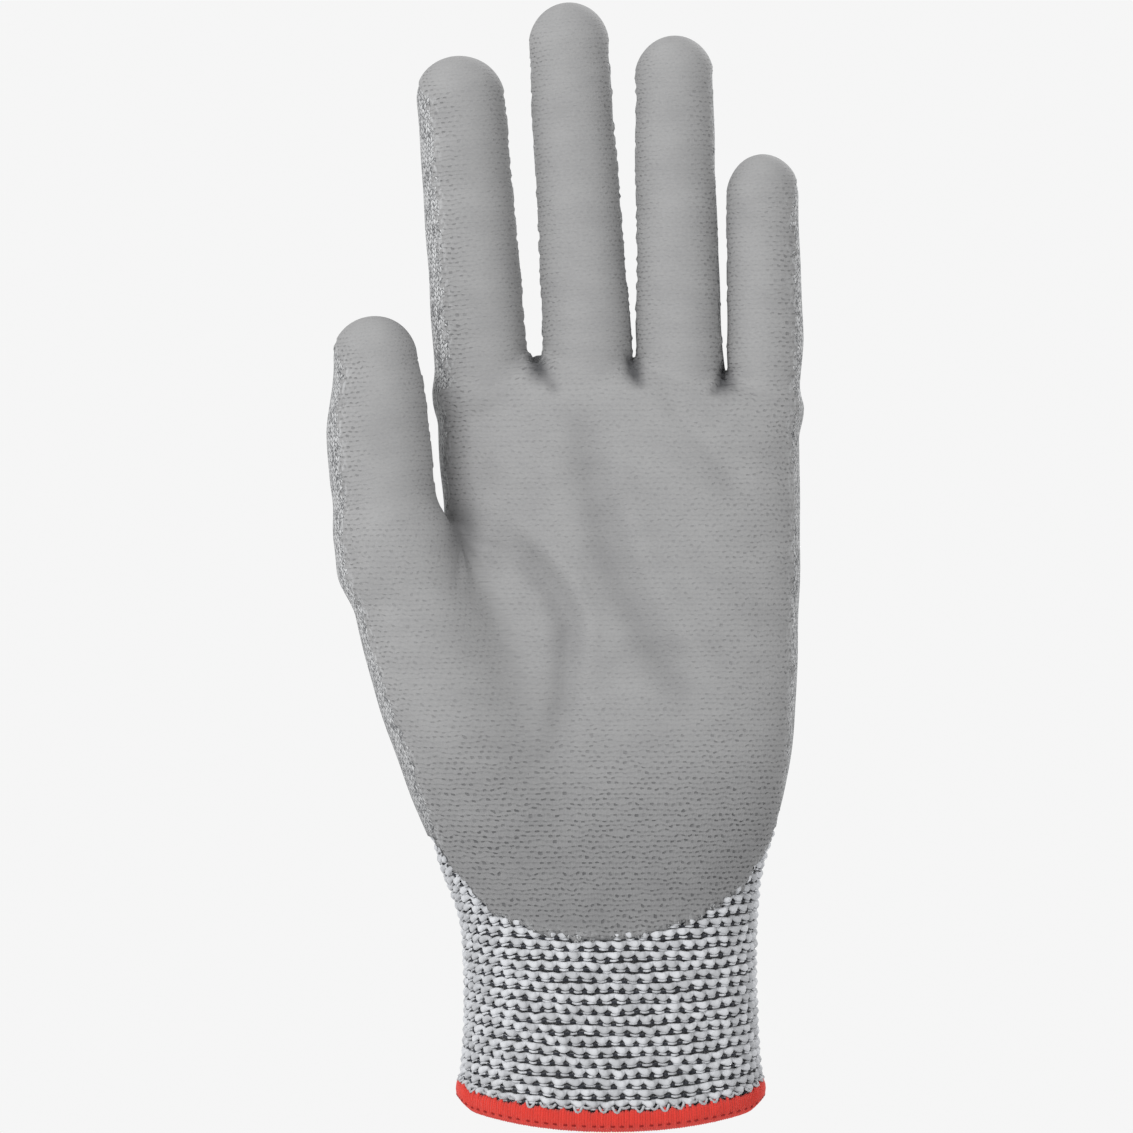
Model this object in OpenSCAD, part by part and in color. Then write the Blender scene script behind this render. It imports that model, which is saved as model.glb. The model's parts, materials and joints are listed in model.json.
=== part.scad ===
// Left-hand cut resistant work glove: a seamless knitted liner, a thin polyurethane film
// on the palm side, an elastic knitted cuff and an overlocked hem.
// Origin: middle of the wrist opening. +Z points to the fingertips, -Y is the palm side,
// and the thumb is on the -X side. Millimetres.

/* [Fabric] */
// Thickness of the knitted liner
knit_t = 1.2; // [0.8:0.1:1.6]
// Thickness of the polyurethane film
coat_t = 0.5; // [0.3:0.1:0.7]
// How far the film reaches round the sides of the palm, past its middle
coat_wrap = 1.5; // [0:0.5:3]

/* [Cuff] */
// Width of the cuff at its narrowest
cuff_w = 62.6; // [58:0.2:66]
// Depth of the cuff, front to back
cuff_d = 45; // [40:1:50]
// Height of the overlocked hem
hem_h = 4.6; // [3:0.2:6]
// How much higher the hem is at the sides than at the front and back
hem_rise = 3.5; // [0:0.5:9]
// Height of the wrist's fold line
wrist_z = 47; // [42:1:50]
// Number of elastic yarns laid into the cuff
elastic_n = 6; // [4:1:9]

/* [Hand] */
// Height of the finger crotches
crotch_z = 163; // [158:1:168]
// Width across the knuckles
palm_w = 79; // [78:0.5:82]
// Depth of the palm at its middle
palm_d = 33; // [30:1:36]
// Height of the film's lower edge at the middle of the palm
coat_z = 41; // [40:1:46]

/* [Finger tubes] */
// Lengths of the index, middle, ring and little finger tubes
finger_len = [66.6, 77.2, 71, 47.6]; // [40:0.2:90]
// Widths of the four finger tubes at the base
finger_w = [19.2, 18.6, 17.4, 15.4]; // [14:0.2:20]
// Widths of the four finger tubes at the tip
tip_w = [18, 16, 15.2, 14.2]; // [12:0.2:19]
// Sideways lean of the four finger tubes, in degrees
finger_lean = [-4.4, -3.6, -1.2, -1.2]; // [-6:0.2:4]
// How far the fingertips curve towards the palm
finger_curve = 5; // [0:0.5:8]
// Length of the thumb tube
thumb_len = 46.6; // [40:0.2:54]
// Width of the thumb tube at the base
thumb_w = 24.4; // [20:0.2:26]

/* [Bending, in degrees] */
// Furthest bend where a finger tube leaves the palm
base_bend = 60; // [30:5:60]
// Furthest bend at a finger's middle knuckle
mid_bend = 80; // [30:5:80]
// Furthest bend at a finger's last knuckle
tip_bend = 55; // [20:5:60]
// Furthest bend at the wrist, forward or back
wrist_bend = 30; // [10:5:30]

/* [Hidden] */
FINGERS = ["index", "middle", "ring", "little", "thumb"];
THUMB = 4;
PARTS = ["base", "mid", "tip"];
function parts_of(f) = f == THUMB ? ["base", "tip"] : PARTS;
TUBE_NODES = [for (f = [0:THUMB]) for (p = parts_of(f)) for (kind = ["knit", "coating", "fold"])
    str(FINGERS[f], "_", p, "_", kind)];

KNIT_COLOR = [0.76, 0.78, 0.79];
COAT_COLOR = [0.63, 0.64, 0.65];
FOLD_COLOR = [0.55, 0.56, 0.57];
HEM_COLOR = [0.90, 0.24, 0.17];
CHAIN_COLOR = [0.72, 0.12, 0.08];
ELASTIC_COLOR = [0.93, 0.93, 0.90];

layer_gap = 0.05;                  // clearance between the liner and the film
fold_gap = 2;                      // space between two stiff sections, at the back of a joint
cut_margin = 2;                    // degrees of room beside each fold
seam_gap = 0.15;                   // clearance between a fold and its neighbours
hinge_share = 0.25;                // how far a joint's axis sits towards the palm, of the half depth
coat_out = layer_gap + coat_t;
tube_sides = 24;
body_sides = 36;
tip_steps = [22, 44, 64, 80];      // the rounding of a tip, in degrees
far = 60;                          // half the size of a cutting block

// ---- the hand's main tube, from the hem to the finger crotches ----
// Each row is height, left edge, right edge, depth
body_rows = [
    [-3, -33.9, 33.9, cuff_d + 2],
    [6, -33.0, 33.1, cuff_d + 1],
    [15, -cuff_w / 2 - 0.4, cuff_w / 2 + 0.6, cuff_d],
    [30, -cuff_w / 2, cuff_w / 2, cuff_d],
    [42, -cuff_w / 2 - 0.6, cuff_w / 2, cuff_d - 1],
    [54, -34.2, 32.2, cuff_d - 3],
    [66, -37.6, 35.4, (cuff_d + palm_d) / 2],
    [78, -39.6, 38.2, palm_d + 3],
    [94, -40, 39.9, palm_d + 1],
    [112, -38, 40.4, palm_d],
    [130, 43.2 - palm_w, 40.7, palm_d - 2],
    [146, 42 - palm_w, 41, palm_d - 5],
    [156, 41.5 - palm_w, 40.9, palm_d - 9],
    [crotch_z, 41.6 - palm_w, 40.6, palm_d - 13]];
function column(rows, c) = [for (r = rows) [r[0], r[c]]];
function body_left(z) = lookup(z, column(body_rows, 1));
function body_right(z) = lookup(z, column(body_rows, 2));
function body_depth(z) = lookup(z, column(body_rows, 3));
body_power = 2 / 2.5;              // squareness of the tube's section: 2 / n of a superellipse
function signed_pow(v, p) = sign(v) * pow(abs(v), p);
function body_point(z, a, g) = [
    (body_left(z) + body_right(z)) / 2
        + ((body_right(z) - body_left(z)) / 2 + g) * signed_pow(cos(a), body_power),
    (body_depth(z) / 2 + g) * signed_pow(sin(a), body_power),
    z];
function body_ring(z, g, up) =
    [for (i = [0:body_sides - 1]) body_point(z, 360 * i / body_sides, g) + [0, 0, up]];

// ---- the thumb's root, swelling out of the palm ----
// Each row is height, middle x, middle y, width, depth
thumb_root = [
    [56, -20.5, -4, 26, 27],
    [68, -26, -6, 28, 29],
    [80, -30.4, -8, 29.5, 29],
    [94, -36, -10, 30, 28.4],
    [108, -41, -12, 28.6, 27],
    [120, -45.2, -13.4, 26.6, 24.8],
    [126.5, -47, -14, thumb_w, thumb_w * 0.94],
    [136, -47.8, -14.3, thumb_w - 0.2, thumb_w * 0.93]];
function root_ring(row, g) = [for (i = [0:body_sides - 1])
    let(a = 360 * i / body_sides)
    [row[1] + (row[3] / 2 + g) * cos(a), row[2] + (row[4] / 2 + g) * sin(a), row[0]]];

// ---- the five tubes ----
bases = [[-27.6, 0, crotch_z], [-4.7, 0, crotch_z + 1], [14.8, 0, crotch_z], [33.3, 0, crotch_z - 2],
         [-47, -14, 126.5]];
lens = concat(finger_len, [thumb_len]);
base_ws = concat(finger_w, [thumb_w]);
tip_ws = concat(tip_w, [17.4]);
leans = concat(finger_lean, [-5]);
rolls = [0, 0, 0, 0, 3];           // turn of the bending plane about the tube
curves = [finger_curve, finger_curve, finger_curve, finger_curve * 0.7, 2];
// Where each joint sits along its tube, and how far it bends
joint_s = [[5, 27, 47], [5, 31, 54], [5, 28.5, 50], [4.5, 18.5, 33], [4, 24]];
bends = [for (f = [0:THUMB]) f == THUMB ? [35, tip_bend] : [base_bend, mid_bend, tip_bend]];

tip_len = 9;
function straight(f) = lens[f] - tip_len;
function width_at(f, s) = let(u = max(0, min(1, s / straight(f))))
    base_ws[f] + (tip_ws[f] - base_ws[f]) * (f == THUMB ? pow(u, 1.6) : u);
function depth_at(f, s) = width_at(f, s) * (f == THUMB ? 0.94 : 0.96);
function bow_at(f, s) = s <= 0 ? 0 : -curves[f] * pow(s / lens[f], 2);

// A point of a tube: z up to the tip's rounding, t degrees round the tip, a round the tube
function tube_point(f, z, t, a, g) = [
    (width_at(f, z) / 2 + g) * cos(t) * cos(a),
    bow_at(f, z) + (depth_at(f, z) / 2 + g) * cos(t) * sin(a),
    z + (tip_len + g) * sin(t)];
function hinge_y(f, k) =
    let(s = joint_s[f][k]) bow_at(f, s) - hinge_share * depth_at(f, s) / 2;
// Height of the cut below (side -1) or above (side 1) joint k, at angle a round the tube and
// g out from the knit's face
function cut(f, k, side, a, g) =
    let(s = joint_s[f][k], y = bow_at(f, s) + (depth_at(f, s) / 2 + g) * sin(a))
    s + side * (fold_gap / 2 + max(0, hinge_y(f, k) - y) * tan(bends[f][k] / 2 + cut_margin));

// ---- building solids from grids of points ----
function split_quad(a, b, c, d) = [[a, b, c], [a, c, d]];
function join(lists) = [for (l = lists) each l];
// The closed solid between an outer and an inner grid: rows go up and columns anticlockwise.
// wrap joins the last column to the first, and capped closes the top, as at a fingertip
module skin(outer, inner, wrap, capped) {
    m = len(outer);
    n = len(outer[0]);
    o = m * n;
    cols = wrap ? n : n - 1;
    function id(j, i) = j * n + i % n;
    walls = [for (j = [0:m - 2]) for (i = [0:cols - 1]) each concat(
        split_quad(id(j, i), id(j + 1, i), id(j + 1, i + 1), id(j, i + 1)),
        split_quad(o + id(j, i), o + id(j, i + 1), o + id(j + 1, i + 1), o + id(j + 1, i)))];
    foot = [for (i = [0:cols - 1]) each
        split_quad(id(0, i), id(0, i + 1), o + id(0, i + 1), o + id(0, i))];
    head = capped
        ? [[for (i = [n - 1:-1:0]) id(m - 1, i)], [for (i = [0:n - 1]) o + id(m - 1, i)]]
        : [for (i = [0:cols - 1]) each split_quad(
            o + id(m - 1, i), o + id(m - 1, i + 1), id(m - 1, i + 1), id(m - 1, i))];
    sides = wrap ? [] : [for (j = [0:m - 2]) each concat(
        split_quad(o + id(j, 0), o + id(j + 1, 0), id(j + 1, 0), id(j, 0)),
        split_quad(id(j, n - 1), id(j + 1, n - 1), o + id(j + 1, n - 1), o + id(j, n - 1)))];
    polyhedron(concat(join(outer), join(inner)), concat(walls, foot, head, sides), convexity = 8);
}

function ring_angles() = [for (i = [0:tube_sides - 1]) 360 * i / tube_sides];
// The palm half of a tube, and one facet more on each side
function front_angles() =
    [for (i = [tube_sides / 2 - 1:tube_sides + 1]) 360 * i / tube_sides];

// Rows of a tube's surface between two cut heights, each a list with one height per angle
function tube_rows(f, low, high, angles, g, rows) = [for (j = [0:rows])
    [for (i = [0:len(angles) - 1])
        tube_point(f, low[i] + (high[i] - low[i]) * j / rows, 0, angles[i], g)]];
function tip_rows(f, angles, g) = [for (t = tip_steps)
    [for (a = angles) tube_point(f, straight(f), t, a, g)]];
function is_last(f, k) = k == len(joint_s[f]) - 1;
// Rows of a stiff section: part k runs from joint k to the next joint or the tip
function section_rows(f, k, angles, g) = let(
    low = [for (a = angles) cut(f, k, 1, a, g)],
    high = [for (a = angles) is_last(f, k) ? straight(f) : cut(f, k + 1, -1, a, g)])
    concat(tube_rows(f, low, high, angles, g, 2), is_last(f, k) ? tip_rows(f, angles, g) : []);
// Rows of the fold between the two cuts at joint k
function fold_rows(f, k, angles, g) = tube_rows(f,
    [for (a = angles) cut(f, k, -1, a, g) + seam_gap],
    [for (a = angles) cut(f, k, 1, a, g) - seam_gap], angles, g, 1);

module in_tube(f) {
    translate(bases[f]) rotate([0, leans[f], 0]) rotate([0, 0, rolls[f]]) children();
}
module tube_section(f, k, angles, g_out, g_in) {
    wrap = len(angles) == tube_sides;
    in_tube(f) skin(section_rows(f, k, angles, g_out), section_rows(f, k, angles, g_in),
                    wrap, is_last(f, k) && wrap);
}
// The knit and film that bunch up at joint k
module tube_fold(f, k) {
    in_tube(f) skin(fold_rows(f, k, ring_angles(), 0), fold_rows(f, k, ring_angles(), -knit_t),
                    true, false);
}

// ---- the palm, as a hollow body with a stub for each tube ----
module frustum(low, high) {
    n = len(low);
    hull() polyhedron(concat(low, high), concat(
        [[for (i = [0:n - 1]) i], [for (i = [2 * n - 1:-1:n]) i]],
        [for (i = [0:n - 1]) each split_quad(i, n + i, n + (i + 1) % n, (i + 1) % n)]));
}
module body_form(g) {
    last = len(body_rows) - 1;
    for (i = [0:last - 1])
        frustum(body_ring(body_rows[i][0], g, 0),
                body_ring(body_rows[i + 1][0], g, i + 1 == last ? g : 0));
}
module root_form(g) {
    for (i = [0:len(thumb_root) - 2])
        frustum(root_ring(thumb_root[i], g), root_ring(thumb_root[i + 1], g));
}
module stub_form(f, g) {
    stub_heights = [-16, 0, 8];
    rings = [for (z = stub_heights) [for (a = ring_angles()) tube_point(f, z, 0, a, g)]];
    in_tube(f) for (i = [0:len(stub_heights) - 2]) frustum(rings[i], rings[i + 1]);
}
// Everything of a tube past its first joint's lower cut
module stub_cutter(f) {
    half = f == THUMB ? far / 2 : base_ws[f] / 2 + 0.9;
    y = hinge_y(f, 0);
    low = joint_s[f][0] - fold_gap / 2;
    drop = far * tan(bends[f][0] / 2 + cut_margin);
    in_tube(f) rotate([90, 0, 90]) linear_extrude(2 * half, center = true)
        polygon([[y, low], [y - far, low - drop], [y - far, low + far], [far, low + far], [far, low]]);
}
// The wrist's fold: a bow tie across the tube, open by the bend on both faces
function wrist_cut(side, y) =
    wrist_z + side * (fold_gap / 2 + abs(y) * tan(wrist_bend / 2 + cut_margin));
module above_wrist() {
    rotate([90, 0, 90]) linear_extrude(4 * far, center = true) polygon([
        [-far, wrist_cut(1, far)], [0, wrist_cut(1, 0)], [far, wrist_cut(1, far)],
        [far, 4 * far], [-far, 4 * far]]);
}
// The film's outline on the palm: it dips to coat_z at the middle and climbs to the sides
module film_outline() {
    rotate([90, 0, 0]) linear_extrude(4 * far, center = true) hull() {
        translate([-9, coat_z + 18]) circle(r = 18, $fn = 32);
        translate([8, coat_z + 19]) circle(r = 19, $fn = 32);
        translate([-far - 10, 95]) square([2 * far + 20, 2 * far]);
    }
}
module palm_layer(g_out, g_in) {
    intersection() {
        difference() {
            union() {
                body_form(g_out);
                difference() {
                    root_form(g_out);
                    stub_cutter(THUMB);
                }
                for (f = [0:THUMB - 1]) stub_form(f, g_out);
            }
            body_form(g_in);
            root_form(g_in);
            for (f = [0:THUMB - 1]) {
                stub_form(f, g_in);
                stub_cutter(f);
            }
        }
        above_wrist();
    }
}
module palm_knit() {
    color(KNIT_COLOR) palm_layer(0, -knit_t);
}
// What the dip wets: the palm's front, and the thumb's root as far back as its own middle
module palm_side() {
    linear_extrude(crotch_z - 0.3) polygon([
        [-2 * far, -2 * far], [2 * far, -2 * far], [2 * far, coat_wrap], [-32, coat_wrap],
        [-60, coat_wrap - 14], [-2 * far, coat_wrap - 14]]);
}
module palm_coating() {
    color(COAT_COLOR) intersection() {
        palm_layer(coat_out, layer_gap);
        film_outline();
        palm_side();
    }
}

// ---- the cuff ----
function body_angles() = [for (i = [0:body_sides - 1]) 360 * i / body_sides];
function hem_line(x) = hem_rise * pow(min(1, abs(x) / (cuff_w / 2)), 2);
function hem_low(a) = hem_line(body_point(3, a, 0)[0]);
function body_rows_between(low, high, angles, g, rows) = [for (j = [0:rows])
    [for (i = [0:len(angles) - 1])
        body_point(low[i] + (high[i] - low[i]) * j / rows, angles[i], g)]];
// A band between two heights, given as one height per angle
module body_band(low, high, g_out, g_in, rows) {
    angles = body_angles();
    skin(body_rows_between(low, high, angles, g_out, rows),
         body_rows_between(low, high, angles, g_in, rows), true, false);
}
// Height of the wrist's cut at angle a, g out from the knit's face
function wrist_height(side, a, g) =
    let(z = wrist_cut(side, body_point(wrist_z, a, g)[1]))
    wrist_cut(side, body_point(z, a, g)[1]);
function wrist_edge(side, off, g) = [for (a = body_angles()) wrist_height(side, a, g) + off];
module wrist_band(g_out, g_in) {
    angles = body_angles();
    function rows(g) = body_rows_between(
        wrist_edge(-1, seam_gap, g), wrist_edge(1, -seam_gap, g), angles, g, 2);
    skin(rows(g_out), rows(g_in), true, false);
}

module cuff_knit() {
    angles = body_angles();
    low = [for (a = angles) hem_low(a) + hem_h + seam_gap];
    color(KNIT_COLOR)
        skin(body_rows_between(low, wrist_edge(-1, 0, 0), angles, 0, 4),
             body_rows_between(low, wrist_edge(-1, 0, -knit_t), angles, -knit_t, 4), true, false);
}
module wrist_fold() {
    color(FOLD_COLOR) wrist_band(0, -knit_t);
}
// The film's lowest tongue, which bends with the wrist
module wrist_coating() {
    color(COAT_COLOR) intersection() {
        wrist_band(coat_out, layer_gap);
        film_outline();
        palm_side();
    }
}
// The binding thread wraps the raw edge, a little proud of the knit on both faces
module hem_overlock() {
    proud = 0.7;
    low = [for (a = body_angles()) hem_low(a)];
    high = [for (z = low) z + hem_h];
    color(HEM_COLOR) body_band(low, high, proud, -knit_t - proud, 2);
}
// The chain of needle stitches along the hem's outer face
module hem_chain_stitch() {
    chain_h = 0.7;
    proud = 0.7 + layer_gap;
    low = [for (a = body_angles()) hem_low(a) + 0.9];
    high = [for (z = low) z + chain_h];
    color(CHAIN_COLOR) body_band(low, high, proud + 0.35, proud, 1);
}
// Elastic yarns that run round the inside of the cuff
module cuff_elastic_yarns() {
    yarn = 0.5;
    first = hem_rise + hem_h + 1.5;
    last = wrist_cut(-1, cuff_d / 2) - 1.5;
    color(ELASTIC_COLOR) for (i = [0:elastic_n - 1]) {
        z = first + (last - first) * i / (elastic_n - 1);
        low = [for (a = body_angles()) z];
        high = [for (a = body_angles()) z + yarn];
        body_band(low, high, -knit_t - layer_gap, -knit_t - layer_gap - yarn, 1);
    }
}

// ---- draw the asked-for node ----
hem_overlock();
hem_chain_stitch();
cuff_knit();
cuff_elastic_yarns();
wrist_fold();
wrist_coating();
palm_knit();
palm_coating();
for (f = [0:THUMB]) for (k = [0:len(parts_of(f)) - 1]) {
    name = str(FINGERS[f], "_", parts_of(f)[k]);
    color(KNIT_COLOR) tube_section(f, k, ring_angles(), 0, -knit_t);
    color(COAT_COLOR) tube_section(f, k, front_angles(), coat_out, layer_gap);
    color(FOLD_COLOR) tube_fold(f, k);
}
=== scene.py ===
"""A left-hand cut resistant glove: knitted liner, grey film on the palm side, red overlocked hem."""

import json
import math

import bpy
import numpy as np
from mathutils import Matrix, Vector


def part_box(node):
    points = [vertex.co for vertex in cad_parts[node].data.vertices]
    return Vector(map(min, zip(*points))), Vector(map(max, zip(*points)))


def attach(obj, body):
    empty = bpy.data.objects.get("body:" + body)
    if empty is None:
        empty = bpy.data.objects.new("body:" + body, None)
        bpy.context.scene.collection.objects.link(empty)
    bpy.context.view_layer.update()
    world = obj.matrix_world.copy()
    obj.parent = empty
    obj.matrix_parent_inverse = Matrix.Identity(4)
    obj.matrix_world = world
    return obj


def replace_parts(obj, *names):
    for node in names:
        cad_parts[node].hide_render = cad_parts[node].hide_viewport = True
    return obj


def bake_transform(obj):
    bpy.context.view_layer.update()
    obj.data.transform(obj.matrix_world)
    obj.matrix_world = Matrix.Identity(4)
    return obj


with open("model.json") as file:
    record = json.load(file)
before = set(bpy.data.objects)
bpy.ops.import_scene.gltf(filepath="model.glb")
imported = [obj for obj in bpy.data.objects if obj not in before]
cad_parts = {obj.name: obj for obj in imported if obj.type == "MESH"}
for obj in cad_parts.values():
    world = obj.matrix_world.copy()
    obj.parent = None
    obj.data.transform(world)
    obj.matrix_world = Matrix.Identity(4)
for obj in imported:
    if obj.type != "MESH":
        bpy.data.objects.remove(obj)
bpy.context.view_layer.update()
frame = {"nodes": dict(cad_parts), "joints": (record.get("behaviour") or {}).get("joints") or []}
MM = 0.001
joints = {j["name"]: j for j in frame["joints"]}

# ---------------------------------------------------------------- the hand's form, in millimetres
# The form is made of seven tubes: the five fingers by number, the hand's main tube, the thumb's root
FINGERS = ["index", "middle", "ring", "little", "thumb"]
LITTLE, THUMB, BODY, ROOT = 3, 4, 5, 6
N_TUBES = 7
PARTS = {f: ["base", "mid", "tip"] if f != "thumb" else ["base", "tip"] for f in FINGERS}
# One value for each finger
BASE_W = [19.2, 18.6, 17.4, 15.4, 24.4]           # width at the root
TIP_W = [18.0, 16.0, 15.2, 14.2, 17.4]            # width near the tip
DEPTH_SHARE = [0.96, 0.96, 0.96, 0.96, 0.94]      # depth from front to back, as a share of the width
FULLER = [0.8, 0.5, 1.1, 1.0, 0.2]                # how much fuller the cloth is than its plain tube
ASIDE = [-0.35, 0.05, 0.25, 0.4, -0.1]            # how far it stands aside from its plain tube
CURVE = [5, 5, 5, 3.5, 2]                         # how far the tip leans to the palm side
ROOT_CREASE = [5, 5, 5, 4.5, 4]                   # height of the first crease along the tube
# Where each piece of a tube starts, by height along the tube
CUTS = [[0.8, 15.5, 38], [0.8, 17.5, 43.5], [0.8, 16, 40.5], [0.8, 11.2, 26.5], [-0.6, 13]]
THUMB_TAPER = 1.9
TIP_LEN = 9.0                                     # length of a rounded fingertip
HINGE_SHARE = 0.25                                # how far a hinge lies to the palm side of its tube
FINGER_JOIN, THUMB_JOIN = 2.6, 6.0                # how softly the tubes run into each other
BODY_POWER = 2.5                                  # the main tube is a rounded box: 2 would be an oval
COURSE = 1.12                                     # height of one stitch
RAGGED = 1.9                                      # how far single stitches stray over the film's edge
HUGE, TINY = 1e9, 1e-9

CUFF_W, CUFF_D, PALM_W, PALM_D, CROTCH = 62.6, 45.0, 79.0, 33.0, 163.0
# Main tube: height, left side, right side, depth
BODY_ROWS = np.array([
    [-12, -34.2, 34.2, CUFF_D + 3], [-3, -33.9, 33.9, CUFF_D + 2], [6, -33.0, 33.1, CUFF_D + 1],
    [15, -CUFF_W / 2 - 0.4, CUFF_W / 2 + 0.6, CUFF_D], [30, -CUFF_W / 2, CUFF_W / 2, CUFF_D],
    [42, -CUFF_W / 2 - 0.6, CUFF_W / 2, CUFF_D - 1], [54, -34.2, 32.2, CUFF_D - 3],
    [66, -37.6, 36.2, (CUFF_D + PALM_D) / 2], [78, -39.6, 39.1, PALM_D + 3],
    [94, -40, 40.3, PALM_D + 1], [112, -38, 40.7, PALM_D], [130, 43.2 - PALM_W, 41.0, PALM_D - 2],
    [146, 41.8 - PALM_W, 40.9, PALM_D - 5], [154, 41.5 - PALM_W, 40.3, PALM_D - 8],
    [163, 42.4 - PALM_W, 38.9, PALM_D - 12], [175, 45.0 - PALM_W, 37.0, PALM_D - 14]])
# Thumb's root: height, middle across, middle front to back, width, depth
ROOT_ROWS = np.array([
    [40, -17, -3, 22, 24], [56, -20.5, -4, 26, 27], [68, -26, -6, 28, 29], [80, -30.4, -8, 29.5, 29],
    [94, -35.7, -10, 30, 28.4], [108, -40.2, -12, 28.6, 27], [120, -44.2, -13.4, 24.4, 24.8],
    [126.5, -46.2, -14, 23.0, 23], [145, -48.4, -14.4, 23.2, 22]])
ROOT_TOP = 125.0
CROTCH_AT = [-16, 4, 24]              # the finger crotches, and how far each is from CROTCH in height
CROTCH_OFF = [2.2, 0.3, -1.2]
NET_LOW, NET_HIGH, NET_STEP = [-64, -30, -4], [44, 27, 243], 0.9     # the grid that finds the surface
HEM_RISE = 3.5                        # how much higher the hem is at the sides than in the middle
CUFF_TOP = 66.0


def smooth_table(rows, sigma, step=0.5, reach=30):
    """A table's columns at even heights, smoothed so that no row shows as a kink."""
    z = np.arange(rows[0, 0], rows[-1, 0] + step, step)
    kernel = np.exp(-0.5 * (np.arange(-reach, reach + 1) * step / sigma) ** 2)
    kernel /= kernel.sum()
    cols = []
    for c in range(1, rows.shape[1]):
        v = np.interp(z, rows[:, 0], rows[:, c])
        cols.append(np.convolve(np.pad(v, reach, mode="edge"), kernel, mode="valid"))
    return z, cols


BODY_Z, BODY_COLS = smooth_table(BODY_ROWS, 3.5)
ROOT_Z, ROOT_COLS = smooth_table(ROOT_ROWS, 4.0)


def tube_frame(k):
    """Origin and axes of a finger tube, from its CAD joints."""
    j = joints[f"{FINGERS[k]}_base_bend"]
    ax = np.array(j["axis"], float)
    roll, lean = math.asin(ax[1]), math.atan2(-ax[2], ax[0])
    cl, sl, cr, sr = math.cos(lean), math.sin(lean), math.cos(roll), math.sin(roll)
    m = (np.array([[cl, 0, sl], [0, 1, 0], [-sl, 0, cl]])
         @ np.array([[cr, -sr, 0], [sr, cr, 0], [0, 0, 1]]))
    hinge_y = -HINGE_SHARE * BASE_W[k] * DEPTH_SHARE[k] / 2
    return np.array(j["pos_m"], float) / MM - m @ np.array([0, hinge_y, ROOT_CREASE[k]]), m


TUBES = [tube_frame(k) for k in range(5)]
TUBE_LEN = [(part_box(f"{FINGERS[k]}_tip_knit")[1].z / MM - TUBES[k][0][2]) / abs(TUBES[k][1][2, 2])
            for k in range(5)]


def smoothstep(a, b, x):
    t = np.clip((x - a) / (b - a), 0, 1)
    return t * t * (3 - 2 * t)


def tube_width(k, s):
    u = np.clip(s / (TUBE_LEN[k] - TIP_LEN), 0, 1)
    waist = 0
    if k == THUMB:
        waist, u = 3.0 * smoothstep(26, 2, s), u ** THUMB_TAPER
    elif k == LITTLE:
        waist = 1.0 * smoothstep(9, -5, s)
    return BASE_W[k] + FULLER[k] - waist + (TIP_W[k] - BASE_W[k]) * u


def tube_local(k, p):
    """Place round and along tube k: normalised x and y across it, and height along it."""
    q = (p - TUBES[k][0]) @ TUBES[k][1]
    s = q[:, 2]
    rx = tube_width(k, s) / 2
    ry = rx * DEPTH_SHARE[k]
    bow = np.where(s > 0, -CURVE[k] * (s / TUBE_LEN[k]) ** 2, 0)
    aside = ASIDE[k]
    if k == THUMB:
        aside = aside + (0.65 * smoothstep(15, -4, s) - 0.9 * smoothstep(36, 22, s))
    elif k == LITTLE:
        aside = aside - 0.5 * smoothstep(9, -5, s)
    return (q[:, 0] - aside) / rx, (q[:, 1] - bow) / ry, s, rx, ry


def tube_field(k, p):
    x, y, s, rx, ry = tube_local(k, p)
    up = np.clip((s - TUBE_LEN[k] + TIP_LEN) / TIP_LEN, 0, None)
    down = np.clip((-6 - s) / 8, 0, None)
    return (np.sqrt(x * x + y * y + up * up + down * down) - 1) * np.minimum(rx, ry)


def body_local(p):
    """Place across the main tube: normalised x and y, and its half depth."""
    left, right, depth = (np.interp(p[:, 2], BODY_Z, c) for c in BODY_COLS)
    return (p[:, 0] - (left + right) / 2) / ((right - left) / 2), p[:, 1] / (depth / 2), depth / 2


def body_field(p):
    x, y, b = body_local(p)
    rho = (np.abs(x) ** BODY_POWER + np.abs(y) ** BODY_POWER) ** (1 / BODY_POWER)
    crotch = np.interp(p[:, 0], CROTCH_AT, [CROTCH + off for off in CROTCH_OFF])
    up = np.clip((p[:, 2] - crotch + 8) / 9.0, 0, None)
    return (np.sqrt(rho * rho + up * up) - 1) * b


def root_local(p):
    """Place across the thumb's root: normalised x and y, and its half depth."""
    cx, cy, w, d = (np.interp(p[:, 2], ROOT_Z, c) for c in ROOT_COLS)
    return (p[:, 0] - cx) / (w / 2), (p[:, 1] - cy) / (d / 2), d / 2


def root_field(p):
    x, y, b = root_local(p)
    up = np.clip((p[:, 2] - ROOT_TOP) / 9, 0, None)
    down = np.clip((58 - p[:, 2]) / 14, 0, None)
    return (np.sqrt(x * x + y * y + up * up + down * down) - 1) * b


def smin(a, b, k):
    """The smaller of two values, rounded where they are within k of each other."""
    h = np.clip(0.5 + 0.5 * (b - a) / k, 0, 1)
    return b + (a - b) * h - k * h * (1 - h)


def fields(p):
    return [tube_field(k, p) for k in range(5)] + [body_field(p), root_field(p)]


def form(p):
    """Below 0 inside the filled glove, in about millimetres."""
    f = fields(p)
    fingers = np.minimum(np.minimum(f[0], f[1]), np.minimum(f[2], f[3]))
    hand = smin(fingers, f[BODY], FINGER_JOIN)
    thumb = smin(f[THUMB], f[ROOT], THUMB_JOIN)
    # the thumb joins the hand softly at its root, and stands clear of it above the crotch
    k = np.interp(p[:, 2], [60, 90, 118, 128, 133], [9.0, 9.0, 8.5, 5.0, 0.6])
    return smin(thumb, hand, k)


def gradient(p, e=0.05):
    f0 = form(p)
    return f0, np.stack([form(p + e * d) - f0 for d in np.eye(3)], 1) / e


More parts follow.
